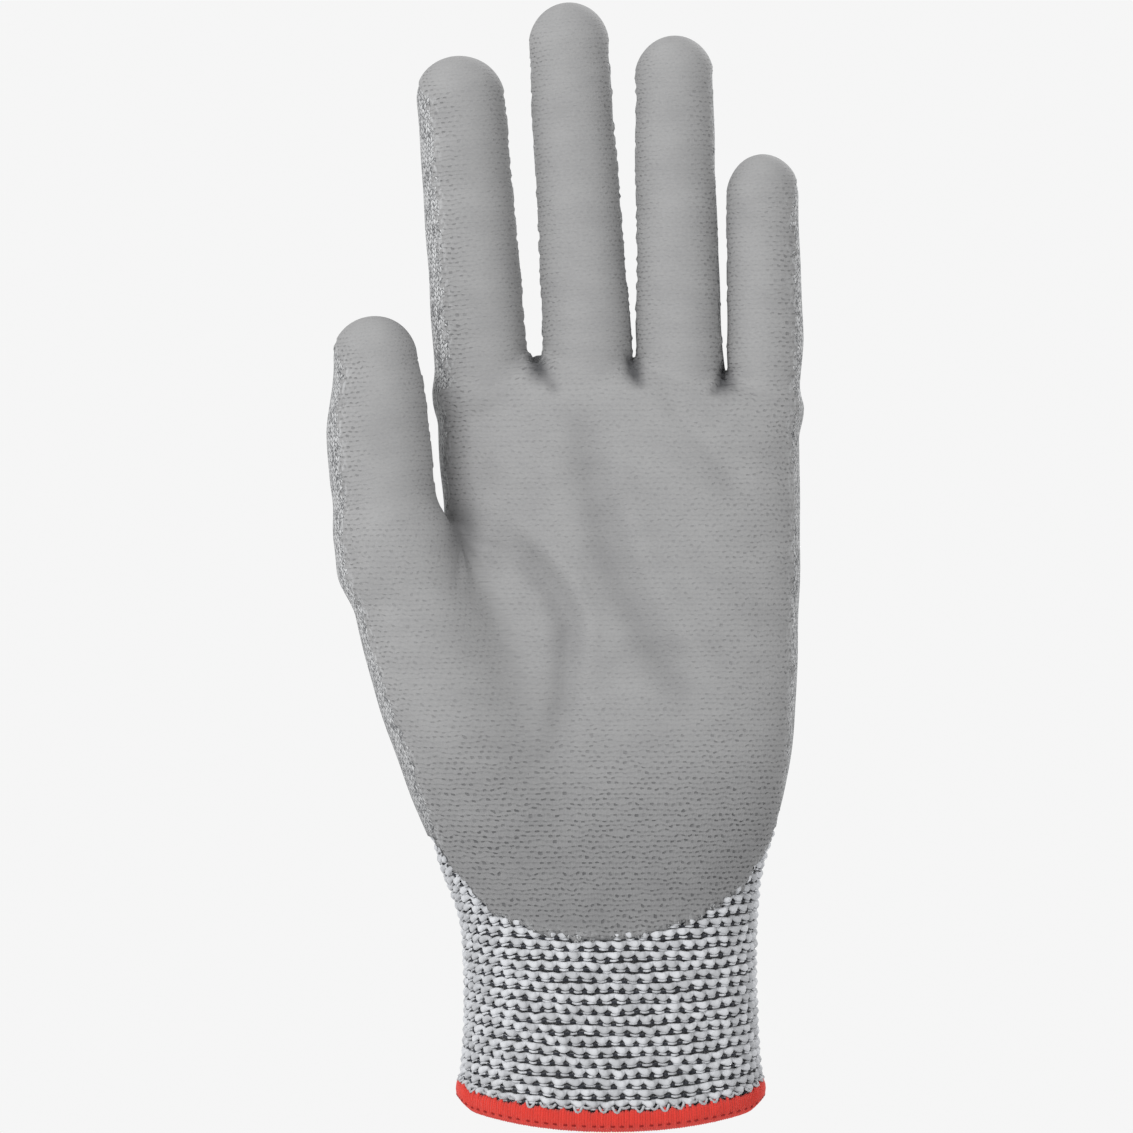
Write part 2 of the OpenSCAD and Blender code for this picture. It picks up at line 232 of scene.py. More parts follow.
def project(p, steps, reach=1.0):
    """Moves points onto the form's surface."""
    for _ in range(steps):
        f, g = gradient(p)
        step = -f[:, None] * g / np.maximum((g * g).sum(1), 0.05)[:, None]
        size = np.linalg.norm(step, axis=1)
        p = p + step * np.minimum(1, reach / np.maximum(size, TINY))[:, None]
    return p


def surface_net(low, high, h):
    """Points and quads of the form's surface, one point in each cell of a grid that it crosses."""
    axes = [np.arange(low[i], high[i], h) for i in range(3)]
    n = [len(a) for a in axes]
    inside = np.zeros(n, bool)
    for i, x in enumerate(axes[0]):
        yy, zz = np.meshgrid(axes[1], axes[2], indexing="ij")
        p = np.stack([np.full(yy.size, x), yy.ravel(), zz.ravel()], 1)
        inside[i] = (form(p) < 0).reshape(n[1], n[2])
    count = np.zeros([m - 1 for m in n], int)
    for a in (0, 1):
        for b in (0, 1):
            for c in (0, 1):
                count += inside[a:n[0] - 1 + a, b:n[1] - 1 + b, c:n[2] - 1 + c]
    active = (count > 0) & (count < 8)
    index = -np.ones(active.shape, int)
    index[active] = np.arange(active.sum())
    cells = np.argwhere(active)
    points = np.array([axes[i][0] for i in range(3)]) + (cells + 0.5) * h
    quads = []
    for a in range(3):
        b, c = (a + 1) % 3, (a + 2) % 3
        lo, hi = [slice(None)] * 3, [slice(None)] * 3
        lo[a], hi[a] = slice(0, n[a] - 1), slice(1, n[a])
        first, second = inside[tuple(lo)], inside[tuple(hi)]
        for leaving in (True, False):
            at = np.argwhere((first != second) & (first == leaving))
            at = at[(at[:, b] > 0) & (at[:, b] < n[b] - 1) & (at[:, c] > 0) & (at[:, c] < n[c] - 1)]
            corner = []
            for db, dc in ((-1, -1), (0, -1), (0, 0), (-1, 0)):
                cell = at.copy()
                cell[:, b] += db
                cell[:, c] += dc
                corner.append(index[cell[:, 0], cell[:, 1], cell[:, 2]])
            quad = np.stack(corner, 1)
            quads.append(quad if leaving else quad[:, ::-1])
    quads = np.concatenate(quads)
    return points, quads[(quads >= 0).all(1)]


def relax(points, quads, rounds):
    """Evens out a net by moving each point towards its neighbours, and back onto the form."""
    edges = np.concatenate([quads[:, [i, (i + 1) % 4]] for i in range(4)])
    edges = np.concatenate([edges, edges[:, ::-1]])
    for _ in range(rounds):
        total = np.zeros_like(points)
        near = np.bincount(edges[:, 0], minlength=len(points))
        for d in range(3):
            total[:, d] = np.bincount(edges[:, 0], weights=points[edges[:, 1], d],
                                      minlength=len(points))
        points = points * 0.4 + 0.6 * total / np.maximum(near, 1)[:, None]
        points = project(points, 1)
    return points


def vertex_normals(points, quads):
    n = np.cross(points[quads[:, 2]] - points[quads[:, 0]],
                 points[quads[:, 3]] - points[quads[:, 1]])
    out = np.stack([np.bincount(quads.ravel(), weights=np.repeat(n[:, d], 4),
                                minlength=len(points)) for d in range(3)], 1)
    return out / np.maximum(np.linalg.norm(out, axis=1), 1e-12)[:, None]


def hem_line(x):
    """Height of the hem's lower edge, which rises to both sides."""
    x = np.abs(x)
    return HEM_RISE * np.minimum(1, x / (CUFF_W / 2)) ** 2 + 1.6 * smoothstep(30, 34, x)


def hashed(a, b, seed):
    """A number from 0 to 1 that looks random, and is always the same for the same place."""
    v = np.sin(a * 127.1 + b * 311.7 + seed * 74.7) * 43758.5453
    return v - np.floor(v)


# ---------------------------------------------------------------- how the knit and the film lie on it
def signed_power(v, power):
    return np.sign(v) * np.abs(v) ** power


# Arc length round the hand's main tube, as a share of a full turn, for even stitches
ARC_A = np.linspace(0, 2 * np.pi, 721)
ARC_X = signed_power(np.cos(ARC_A), 2 / BODY_POWER) * 33
ARC_Y = signed_power(np.sin(ARC_A), 2 / BODY_POWER) * 20
ARC_S = np.concatenate([[0], np.cumsum(np.hypot(np.diff(ARC_X), np.diff(ARC_Y)))])
ARC_S /= ARC_S[-1]
WALES = [38, 37, 35, 31, 46, 130, 58]             # stitches round each of the seven tubes

# The film's lower edge on the palm side
EDGE_X = [-60, -41, -38.7, -33.4, -25.9, -15.2, -4.5, 6.2, 19, 28.7, 34.4, 40, 60]
EDGE_Z = [90, 72, 63.5, 55, 46.4, 42.1, 40.9, 41.3, 45.3, 51.8, 61.4, 74, 90]
EDGE_TOP = 62.0                                   # the cuff's loops go no higher than this
# How far the bare knit reaches round from each side to the palm side, in degrees: left, right
BARE = [[45, 8], [8, 14], [8, 20], [4, 36], [38, 6]]
# The same on the main tube, in millimetres to the palm side of its middle, by height
BARE_LEFT = ([60, 75, 122, 134, 163], [5, 0, 0, 5.5, 5.5])
BARE_RIGHT = ([60, 75, 120, 150, 163], [4.5, 6.5, 6.6, 5.4, 4.4])


def film_edge(x):
    return np.interp(x, EDGE_X, EDGE_Z)


def knit_at(label, p):
    """Stitch columns and rows, and how far inside the film's outline, for points on one tube."""
    if label < BODY:
        x, y, s, rx, ry = tube_local(label, p)
        up = np.clip((s - TUBE_LEN[label] + TIP_LEN) / TIP_LEN, 0, 1)
        u = np.arctan2(y, x) / (2 * np.pi) % 1 * WALES[label]
        v = (s + up * up * 2.5) / (COURSE * 0.92)
        left, right = np.sin(np.radians(BARE[label]))
        side = left + (right - left) * smoothstep(-0.7, 0.7, x)
        film = (-y + 1.1 * up - side) * ry
        return u, v, film
    if label == BODY:
        x, y, b = body_local(p)
        angle = np.arctan2(signed_power(y, BODY_POWER / 2), signed_power(x, BODY_POWER / 2))
        u = np.interp(angle % (2 * np.pi), ARC_A, ARC_S) * WALES[BODY]
        v = p[:, 2] / COURSE
        side = np.where(x < 0, np.interp(p[:, 2], *BARE_LEFT), np.interp(p[:, 2], *BARE_RIGHT))
        film = np.minimum(p[:, 2] - film_edge(p[:, 0]), -p[:, 1] - side)
        return u, v, film
    x, y, b = root_local(p)
    u = np.arctan2(y, x) / (2 * np.pi) % 1 * WALES[ROOT]
    v = p[:, 2] / COURSE
    film = np.minimum(p[:, 2] - film_edge(p[:, 0]) - 1,
                      (-y - 0.55 + 0.5 * smoothstep(-0.6, 0.6, x)) * b)
    return u, v, film


# Soft folds and ridges of the palm side: how far each moves the cloth, its width, its line in x and z
LONG_FOLD = (-1.9, 4.8, [(-6.8, 156), (-3.4, 138.5), (0.9, 121), (9.4, 104), (21.2, 87)])
LONG_RIDGE = (0.8, 3.4, [(-1.5, 152), (1.8, 137), (7, 121), (15.5, 106), (27, 92)])
THUMB_FOLD = (-1.8, 3.2, [(-26, 127), (-18.4, 122), (-12, 115), (-8.8, 108), (-9.8, 93), (-12, 78)])
OTHER_FOLDS = [
    (0.85, 2.6, [(-24, 132), (-14, 124.5), (-8, 117), (-4.4, 108), (-5, 96)]),
    (-0.8, 2.6, [(10, 158.5), (17, 150), (24.4, 141.5), (29, 135)]),
    (0.4, 3.0, [(-27, 145), (-19, 139), (-9, 138)]),
    (-0.4, 2.8, [(20, 152), (26, 146), (31, 138)])]
# Short tucks that run down from the finger crotches: width and line
TUCKS = [(1.3, [(-17.5, 167), (-15.6, 163.6), (-13.2, 160), (-11, 156.5)]),
         (1.2, [(4.2, 166), (5.2, 161.5), (7.5, 157.5)]),
         (1.2, [(24.8, 164), (23.8, 159.5), (21.5, 156)])]
# how deep the tucks go, and how much painted shade they get
TUCK_DEPTH, TUCK_SHADE = 0.7, 2.2
PLEAT_AT = (-33, 126)                 # the fine pleats fan out from here, below the thumb's crotch
GATHERS = ((-16.5, 163.5), (4.6, 163.0), (24.5, 160.5))
FILM_OUT, LOOP_ROOM = 0.42, -0.85     # how far the film stands out, and the knit goes in under the loops


def groove(p, width, line):
    """1 on a line drawn on the palm side, falling off across it."""
    d = np.full(len(p), HUGE)
    xz = p[:, [0, 2]]
    along = np.zeros(len(p))
    total = sum(math.dist(line[i], line[i + 1]) for i in range(len(line) - 1))
    before = 0.0
    for i in range(len(line) - 1):
        a, b = np.array(line[i], float), np.array(line[i + 1], float)
        t = np.clip(((xz - a) @ (b - a)) / ((b - a) @ (b - a)), 0, 1)
        dist = np.linalg.norm(xz - a - t[:, None] * (b - a), axis=1)
        near = dist < d
        d[near] = dist[near]
        along[near] = (before + t[near] * math.dist(a, b)) / total
        before += math.dist(a, b)
    ends = np.clip(np.minimum(along, 1 - along) * 5, 0, 1)
    return np.exp(-(d / width) ** 2) * ends * (p[:, 1] < 0)


def build_skin():
    points, quads = surface_net(NET_LOW, NET_HIGH, NET_STEP)
    points = relax(project(points, 4), quads, 5)
    points = project(points, 2)
    normal = gradient(points)[1]
    normal /= np.linalg.norm(normal, axis=1)[:, None]
    f = np.stack(fields(points))
    label = np.argmin(f, 0)
    uvf = [knit_at(k, points) for k in range(N_TUBES)]
    film = np.max(np.stack([t[2] for t in uvf]) - 3.0 * (f - f.min(0)), 0)
    u = np.choose(label, [t[0] for t in uvf])
    v = np.choose(label, [t[1] for t in uvf])
    x, y, z = points.T
    front = smoothstep(2, -6, y)
    # the palm's soft folds, and the gathers at the crotches
    move = np.zeros(len(points))
    long_fold, ridge, thumb_fold = (
        groove(points, width, line) for _, width, line in (LONG_FOLD, LONG_RIDGE, THUMB_FOLD))
    move += LONG_FOLD[0] * long_fold
    move += LONG_RIDGE[0] * ridge
    move += THUMB_FOLD[0] * thumb_fold
    for amount, width, line in OTHER_FOLDS:
        move += amount * groove(points, width, line)
    tucks = sum(groove(points, width, line) for width, line in TUCKS)
    move -= TUCK_DEPTH * tucks
    around = np.hypot(x - PLEAT_AT[0], z - PLEAT_AT[1])
    turn = np.arctan2(z - PLEAT_AT[1], x - PLEAT_AT[0])
    fan = smoothstep(-1.9, -1.3, turn) * smoothstep(0.2, -0.3, turn)
    pleats = np.sin(turn * 14 + 0.2 * around) * smoothstep(15, 5, around) * smoothstep(1, 5, around)
    move += 0.26 * pleats * front * fan
    for cx, cz in GATHERS:
        near = np.hypot(x - cx, z - cz)
        spin = np.arctan2(z - cz, x - cx)
        move += 0.22 * np.sin(spin * 9 + cx) * smoothstep(7, 1.5, near) * smoothstep(0.3, 1.5, near)
    wave = (np.sin(x * 0.31 + z * 0.11 + 1) + np.sin(z * 0.23 - x * 0.17 + y * 0.2)
            + np.sin(x * 0.13 - z * 0.37 + 2.2)) / 3
    move += 0.18 * wave * smoothstep(60, 75, z)
    # stitch by stitch, a course either takes the film or stays bare
    ragged = film + (hashed(np.floor(u), np.floor(v), 3) - 0.5) * RAGGED
    top_edge = np.where(y < 0, np.minimum(film_edge(x), EDGE_TOP), EDGE_TOP)
    under_loops = (z < top_edge) & (label >= BODY) & (ragged < 0)
    move += np.where(ragged > 0, FILM_OUT, np.where(under_loops, LOOP_ROOM, 0.0))
    placed = points + normal * move[:, None]
    centre = points[quads].mean(1)
    quads = quads[centre[:, 2] > hem_line(centre[:, 0]) + 1.6]
    # the folds and tucks, weighed for the painted shade in them
    folds = long_fold + thumb_fold + TUCK_SHADE * tucks
    return points, placed, quads, label, film, uvf, under_loops, folds


def new_mesh(name, points, faces, normals=None):
    """A smooth-shaded object from points in millimetres and faces that all have as many corners."""
    mesh = bpy.data.meshes.new(name)
    n = faces.shape[1]
    mesh.vertices.add(len(points))
    mesh.vertices.foreach_set("co", (points * MM).astype(np.float32).ravel())
    mesh.loops.add(len(faces) * n)
    mesh.loops.foreach_set("vertex_index", faces.astype(np.int32).ravel())
    mesh.polygons.add(len(faces))
    mesh.polygons.foreach_set("loop_start", np.arange(0, len(faces) * n, n, dtype=np.int32))
    mesh.polygons.foreach_set("use_smooth", np.ones(len(faces), bool))
    mesh.update(calc_edges=True)
    if normals is not None:
        mesh.normals_split_custom_set_from_vertices(normals.astype(np.float32))
    obj = bpy.data.objects.new(name, mesh)
    bpy.context.scene.collection.objects.link(obj)
    return obj


def point_values(obj, name, values):
    a = obj.data.attributes.new(name, "FLOAT", "POINT")
    a.data.foreach_set("value", np.asarray(values, np.float32))


def corner_uv(obj, name, uv):
    obj.data.uv_layers.new(name=name).data.foreach_set("uv", uv.astype(np.float32).ravel())


def cut_out(points, quads, normals, chosen):
    """The part of a mesh that has the chosen faces, with the whole mesh's normals."""
    faces = quads[chosen]
    used, inverse = np.unique(faces, return_inverse=True)
    return points[used], inverse.reshape(faces.shape), normals[used], used


# ---------------------------------------------------------------- materials
def material(name, color, rough=0.9, sheen=0.0):
    m = bpy.data.materials.new(name)
    m.use_nodes = True
    b = m.node_tree.nodes["Principled BSDF"]
    b.inputs["Base Color"].default_value = (*color, 1)
    b.inputs["Roughness"].default_value = rough
    b.inputs["Specular IOR Level"].default_value = 0.25
    b.inputs["Sheen Weight"].default_value = sheen
    return m


class Nodes:
    """Short names for the few shader nodes that the materials use."""

    def __init__(self, mat):
        self.tree = mat.node_tree
        self.bsdf = self.tree.nodes["Principled BSDF"]

    def put(self, socket, value):
        if isinstance(value, (int, float)):
            socket.default_value = value
        elif isinstance(value, tuple):
            socket.default_value = (*value, 1)
        else:
            self.tree.links.new(value, socket)

    def math(self, op, a, b=0.0, c=0.0, clamp=False):
        n = self.tree.nodes.new("ShaderNodeMath")
        n.operation, n.use_clamp = op, clamp
        for s, v in zip(n.inputs, (a, b, c)):
            self.put(s, v)
        return n.outputs[0]

    def mix(self, t, a, b):
        n = self.tree.nodes.new("ShaderNodeMix")
        n.data_type = "RGBA"
        self.put(n.inputs["Factor"], t)
        self.put(n.inputs["A"], a)
        self.put(n.inputs["B"], b)
        return n.outputs["Result"]

    def ramp(self, value, low, high):
        n = self.tree.nodes.new("ShaderNodeMapRange")
        n.interpolation_type = "SMOOTHSTEP"
        self.put(n.inputs["Value"], value)
        n.inputs["From Min"].default_value = low
        n.inputs["From Max"].default_value = high
        return n.outputs["Result"]

    def attribute(self, name):
        n = self.tree.nodes.new("ShaderNodeAttribute")
        n.attribute_name = name
        return n.outputs["Fac"]

    def uv(self, name):
        n = self.tree.nodes.new("ShaderNodeUVMap")
        n.uv_map = name
        s = self.tree.nodes.new("ShaderNodeSeparateXYZ")
        self.tree.links.new(n.outputs[0], s.inputs[0])
        return s.outputs[0], s.outputs[1]

    def random(self, x, y, z):
        c = self.tree.nodes.new("ShaderNodeCombineXYZ")
        self.put(c.inputs[0], x)
        self.put(c.inputs[1], y)
        self.put(c.inputs[2], z)
        n = self.tree.nodes.new("ShaderNodeTexWhiteNoise")
        self.tree.links.new(c.outputs[0], n.inputs["Vector"])
        return n.outputs["Value"]

    def noise(self, x, y, scale, detail):
        c = self.tree.nodes.new("ShaderNodeCombineXYZ")
        self.put(c.inputs[0], x)
        self.put(c.inputs[1], y)
        n = self.tree.nodes.new("ShaderNodeTexNoise")
        n.inputs["Scale"].default_value, n.inputs["Detail"].default_value = scale, detail
        self.tree.links.new(c.outputs[0], n.inputs["Vector"])
        return n.outputs["Fac"]

    def bump(self, height, distance):
        n = self.tree.nodes.new("ShaderNodeBump")
        n.inputs["Distance"].default_value = distance
        n.inputs["Strength"].default_value = 1.0
        self.put(n.inputs["Height"], height)
        self.tree.links.new(n.outputs["Normal"], self.bsdf.inputs["Normal"])


FILM = (0.26, 0.26, 0.26)
FILM_LOW, FILM_HIGH, FILM_DASH = (0.238, 0.238, 0.240), (0.276, 0.276, 0.277), (0.09, 0.09, 0.094)
# SHADE is the colour of painted shade, which the 'shade' attribute mixes into the skin
FILM_SPECK, SHADE = (0.40, 0.405, 0.41), (0.035, 0.036, 0.040)
BARE_GAP, BARE_MID, BARE_LIGHT = (0.15, 0.152, 0.158), (0.35, 0.355, 0.36), (0.54, 0.545, 0.55)
LIGHT, DARK = (0.50, 0.51, 0.53), (0.024, 0.026, 0.034)          # the cuff's two yarns
RED, DEEP_RED = (0.64, 0.040, 0.027), (0.22, 0.007, 0.006)
LINING, LINING_LOW, LINING_HIGH = (0.20, 0.21, 0.235), (0.05, 0.053, 0.06), (0.36, 0.38, 0.42)
ELASTIC, FLOOR = (0.74, 0.74, 0.70), (0.96, 0.96, 0.96)
FULL_TURN = 2 * math.pi
LEG_SLANT = -1.3                      # how much of a row a stitch's leg climbs across its column


def skin_material():
    """Plain knit, or the film over it where the outline says so, from each stitch's own place."""
    m = material("glove_skin", FILM, 0.78)
    n = Nodes(m)
    u, v = n.uv("knit")
    film, relief, shade = n.attribute("film"), n.attribute("relief"), n.attribute("shade")
    cu, cv = n.math("FLOOR", u), n.math("FLOOR", v)
    fu = n.math("FRACT", u)
    stitch = n.random(cu, cv, 3.0)
    edge = n.math("MULTIPLY_ADD", n.math("SUBTRACT", stitch, 0.5), RAGGED, film)
    is_film = n.ramp(edge, -0.10, 0.14)
    # each stitch is two slanting legs
    w = n.math("ABSOLUTE", n.math("SUBTRACT", fu, 0.5))
    leg_x = n.math("SUBTRACT", n.math("MULTIPLY", w, 4.0), 1.0)
    across = n.math("SUBTRACT", 1.0, n.math("MULTIPLY", leg_x, leg_x))
    climb = n.math("MULTIPLY_ADD", w, LEG_SLANT, v)
    slant = n.math("FRACT", climb)
    leg_y = n.math("SUBTRACT", n.math("MULTIPLY", slant, 2.0), 1.0)
    up = n.math("SUBTRACT", 1.0, n.math("MULTIPLY", leg_y, leg_y))
    leg = n.math("MULTIPLY", n.math("POWER", across, 0.5, clamp=True),
                 n.math("POWER", up, 0.6, clamp=True))
    half = n.math("FLOOR", n.math("MULTIPLY", u, 2.0))
    row = n.math("FLOOR", climb)
    fleck = n.random(half, row, 9.0)
    fibre = n.noise(u, v, 2.3, 3.0)
    pale = n.ramp(n.math("ADD", n.math("MULTIPLY", fleck, 0.34), fibre), 0.46, 0.60)
    showing = n.math("MULTIPLY", pale, n.ramp(leg, 0.16, 0.50))
    bare = n.mix(showing, BARE_GAP, n.mix(fleck, BARE_MID, BARE_LIGHT))
    # the film bridges the stitches, and dips a little between them in short dashes
    sway = n.math("MULTIPLY_ADD", n.noise(u, v, 0.55, 3.0), 1.7, v)
    rows = n.math("SINE", n.math("MULTIPLY", sway, FULL_TURN))
    brick = n.math("MULTIPLY_ADD", n.math("FLOOR", sway), 0.5, u)
    dash_at = n.math("ABSOLUTE", n.math("SUBTRACT", n.math("FRACT", brick), 0.5))
    depth = n.random(n.math("FLOOR", brick), n.math("FLOOR", sway), 5.0)
    dash = n.math("MULTIPLY", n.ramp(dash_at, 0.36, 0.14), n.math("MULTIPLY_ADD", depth, 0.8, 0.3))
    thin_line = n.math("MULTIPLY", n.ramp(rows, -0.2, -1.0), 0.22)
    between = n.math("MAXIMUM", n.math("MULTIPLY", n.ramp(rows, -0.25, -1.0), dash), thin_line)
    soft, grain = n.noise(u, v, 0.16, 3.0), n.noise(u, v, 2.4, 2.0)
    coat_h = n.math("MULTIPLY", n.math("SUBTRACT", n.math("MULTIPLY", leg, 0.18), between), relief)
    mottle = n.math("MULTIPLY_ADD", grain, 0.5, n.math("MULTIPLY", soft, 0.5))
    plain = n.mix(n.ramp(mottle, 0.3, 0.7), FILM_LOW, FILM_HIGH)
    tone = n.mix(n.math("MULTIPLY", between, n.math("MULTIPLY", relief, 0.55)), plain, FILM_DASH)
    near_edge = n.ramp(film, 2.6, 0.0)
    speck = n.math("MULTIPLY", n.ramp(n.random(half, row, 17.0), 0.55, 0.9), near_edge)
    coat = n.mix(n.math("MULTIPLY", speck, 0.7), tone, FILM_SPECK)
    color = n.mix(is_film, bare, coat)
    # painted shade: the colour darkens towards SHADE as far as the 'shade' attribute says
    color = n.mix(n.math("MULTIPLY", shade, 0.8, clamp=True), color, SHADE)
    n.put(n.bsdf.inputs["Base Color"], color)
    bare_h = n.math("MULTIPLY", n.math("SUBTRACT", 1.0, is_film), n.math("MULTIPLY", leg, 0.9))
    film_h = n.math("MULTIPLY", is_film, n.math("MULTIPLY_ADD", coat_h, 0.42, 0.45))
    height = n.math("ADD", bare_h, film_h)
    n.bump(height, 0.00042)
    return m


def yarn_material(name, color, spread):
    """A twisted, slightly fuzzy yarn whose tone varies by the given share."""
    m = material(name, color, 0.95, 0.15)
    n = Nodes(m)
    tone = n.attribute("tone")
    u, v = n.uv("yarn")
    round_it = n.math("MULTIPLY", v, FULL_TURN)
    twist = n.math("SINE", n.math("MULTIPLY_ADD", u, FULL_TURN * 3.0, round_it))
    fuzz = n.noise(u, v, 2.6, 3.0)
    dark = tuple(c * (1 - spread) for c in color)
    pale = tuple(min(1.0, c * (1 + 0.35 * spread)) for c in color)
    share = n.math("MULTIPLY_ADD", fuzz, 0.5, n.math("MULTIPLY", tone, 0.5))
    n.put(n.bsdf.inputs["Base Color"], n.mix(share, dark, pale))
    n.bump(n.math("MULTIPLY_ADD", twist, 0.5, n.math("MULTIPLY", fuzz, 0.6)), 0.00010)
    return m


# ---------------------------------------------------------------- pieces
def rest_on(obj, seg):
    """Hangs a palm piece on the palm's body; any other piece keeps its place, baked into its points."""
    if seg == "palm":
        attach(obj, "palm")
    elif seg == "cuff":
        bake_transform(obj)
    else:
        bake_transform(obj)


PALM_CODE, CUFF_CODE, FINGER_CODE = -1, -2, 10    # a finger's part is FINGER_CODE * finger + part
# centres of the painted shade in the thumb's crotch and in the finger crotches
THUMB_SHADE_AT = (-31.5, 127.5)
CROTCH_SHADES = ((-16.0, 163.0), (4.8, 162.5), (24.8, 160.0))
SKIN_NAMES = {"cuff_knit": "cuff_backing", "cuff_film": "wrist_film"}


def segment_codes(centre, face_label):
    """Which piece of the skin each face belongs to."""
    segment = np.full(len(centre), PALM_CODE)
    segment[(centre[:, 2] < CUFF_TOP)] = CUFF_CODE
    for k in range(len(FINGERS)):
        s = tube_local(k, centre)[2]
        mine = face_label == k
        if k == THUMB:
            mine = (mine | (face_label == ROOT)) & (centre[:, 2] > 100)
        for i, low in enumerate(CUTS[k]):
            segment[mine & (s > low)] = FINGER_CODE * k + i
    return segment


def relief_of(points, label, film):
    """How strongly the stitches show through the film."""
    x, z = points[:, 0], points[:, 2]
    relief = (0.36 + 1.05 * smoothstep(95, 60, z)
              + 0.30 * smoothstep(8, 34, x) * smoothstep(170, 130, z))
    for k in range(len(FINGERS)):
        across = tube_local(k, points)[0]
        here = label == k
        relief[here] = (0.20 + 0.5 * smoothstep(0.35, 0.95, np.abs(across)))[here]
    relief[label == ROOT] += 0.12
    return np.maximum(relief, 0.95 * smoothstep(7.5, 1.5, film))


def shade_of(points, folds, under_loops):
    """How much painted shade darkens the cloth: low on the palm, in folds and crotches, and near black
    under the cuff's loops.
    """
    x, y, z = points.T
    # painted shade: darker towards the bottom of the palm side, and in the folds
    shade = 0.40 * smoothstep(100, 46, z) * (y < 0) + 0.20 * folds
    # painted shade in the thumb's crotch
    crotch = np.hypot(x - THUMB_SHADE_AT[0], (z - THUMB_SHADE_AT[1]) / 1.8)
    shade += 0.50 * smoothstep(5.5, 0.8, crotch) * smoothstep(2, -4, y)
    # painted shade in the finger crotches
    for cx, cz in CROTCH_SHADES:
        shade += 0.7 * smoothstep(3.4, 0.3, np.hypot(x - cx, (z - cz) / 1.7))
    # under the cuff's loops the knit is painted near black: it stands for the shade in the gaps between
    # the loops, and for the dark yarn there
    return np.where(under_loops, 1.0, np.clip(shade, 0, 1))


def stitch_uv(corners, face_label, uvf):
    """Stitch columns and rows at each face's corners, unbroken where the columns start again."""
    uv = np.zeros((len(corners), 4, 2))
    for k in range(N_TUBES):
        rows = face_label == k
        uu, vv = uvf[k][0][corners[rows]], uvf[k][1][corners[rows]]
        off, n = uu - uu[:, :1], WALES[k]
        uv[rows, :, 0] = np.where(off > n / 2, uu - n, np.where(off < -n / 2, uu + n, uu))
        uv[rows, :, 1] = vv
    return uv


def make_skin():
    """The knit and the film over it, cut into pieces along the palm, the cuff and each finger's parts; the
    palm's pieces hang on its body.
    """
    base, placed, quads, label, film, uvf, under_loops, folds = build_skin()
    normals = vertex_normals(placed, quads)
    skin = skin_material()
    centre = base[quads].mean(1)
    face_label = np.argmin(np.stack(fields(centre)), 0)
    face_film = film[quads].mean(1)
    segment = segment_codes(centre, face_label)
    relief = relief_of(base, label, film)
    shade = shade_of(base, folds, under_loops)
    for code in np.unique(segment):
        if code == PALM_CODE:
            seg = stem = "palm"
        elif code == CUFF_CODE:
            seg = stem = "cuff"
        else:
            seg = k, i = code // FINGER_CODE, code % FINGER_CODE
            stem = f"{FINGERS[k]}_{PARTS[FINGERS[k]][i]}"
        for kind in ("knit", "film"):
            chosen = (segment == code) & ((face_film > 0) == (kind == "film"))
            if not chosen.any():
                continue
            p, f, nrm, used = cut_out(placed, quads, normals, chosen)
            obj = new_mesh(SKIN_NAMES.get(f"{stem}_{kind}", f"{stem}_{kind}_skin"), p, f, nrm)
            corner_uv(obj, "knit", stitch_uv(quads[chosen], face_label[chosen], uvf))
            point_values(obj, "film", film[used])
            point_values(obj, "relief", relief[used])
            point_values(obj, "shade", shade[used])
            obj.data.materials.append(skin)
            rest_on(obj, seg)
            if seg == "cuff":
                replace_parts(obj, "wrist_coating") if kind == "film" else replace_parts(obj, "wrist_fold")
            elif kind == "film":
                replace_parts(obj, f"{stem}_coating")
            elif seg == "palm":
                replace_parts(obj, "palm_knit")
            else:
                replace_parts(obj, f"{stem}_knit", f"{stem}_fold")


def ring_tube(centre, normal, radius, sides, closed=True, flat=1.0):
    """Points, quads and UV of many tubes at once.

    centre is (tubes, points, 3), normal the way out of the cloth, and flat squeezes a tube along it.
    """
    n, m = centre.shape[:2]
    if closed:
        tangent = np.roll(centre, -1, 1) - np.roll(centre, 1, 1)
    else:
        tangent = np.gradient(centre, axis=1)
    tangent /= np.maximum(np.linalg.norm(tangent, axis=2), TINY)[..., None]
    side = np.cross(tangent, normal)
    side /= np.maximum(np.linalg.norm(side, axis=2), TINY)[..., None]
    out = np.cross(side, tangent)
    angle = np.arange(sides) * 2 * np.pi / sides
    around = (flat * np.cos(angle)[:, None] * out[:, :, None]
              + np.sin(angle)[:, None] * side[:, :, None])
    points = (centre[:, :, None] + radius[..., None, None] * around).reshape(-1, 3)
    lengths = m if closed else m - 1
    i, j, k = np.meshgrid(np.arange(n), np.arange(lengths), np.arange(sides), indexing="ij")
    a = (i * m + j) * sides + k
    b = (i * m + j) * sides + (k + 1) % sides
    c = (i * m + (j + 1) % m) * sides + (k + 1) % sides
    d = (i * m + (j + 1) % m) * sides + k
    quads = np.stack([a, d, c, b], -1).reshape(-1, 4)
    uv = np.stack([np.stack([j, k / sides], -1), np.stack([j + 1, k / sides], -1),
                   np.stack([j + 1, (k + 1) / sides], -1), np.stack([j, (k + 1) / sides], -1)], -2)
    return points, quads, uv.reshape(-1, 4, 2)


def cuff_points(share, z):
    """Points of the hand's main tube at a share of the way round and a height, and the way out of it."""
    angle = np.interp(share % 1, ARC_S, ARC_A)
    left, right, depth = (np.interp(z, BODY_Z, c) for c in BODY_COLS)
    x = (left + right) / 2 + (right - left) / 2 * signed_power(np.cos(angle), 2 / BODY_POWER)
    y = depth / 2 * signed_power(np.sin(angle), 2 / BODY_POWER)
    p = project(np.stack([x, y, z], -1).reshape(-1, 3), 2)
    g = gradient(p)[1]
    g /= np.linalg.norm(g, axis=1)[:, None]
    return p.reshape(*share.shape, 3), g.reshape(*share.shape, 3)


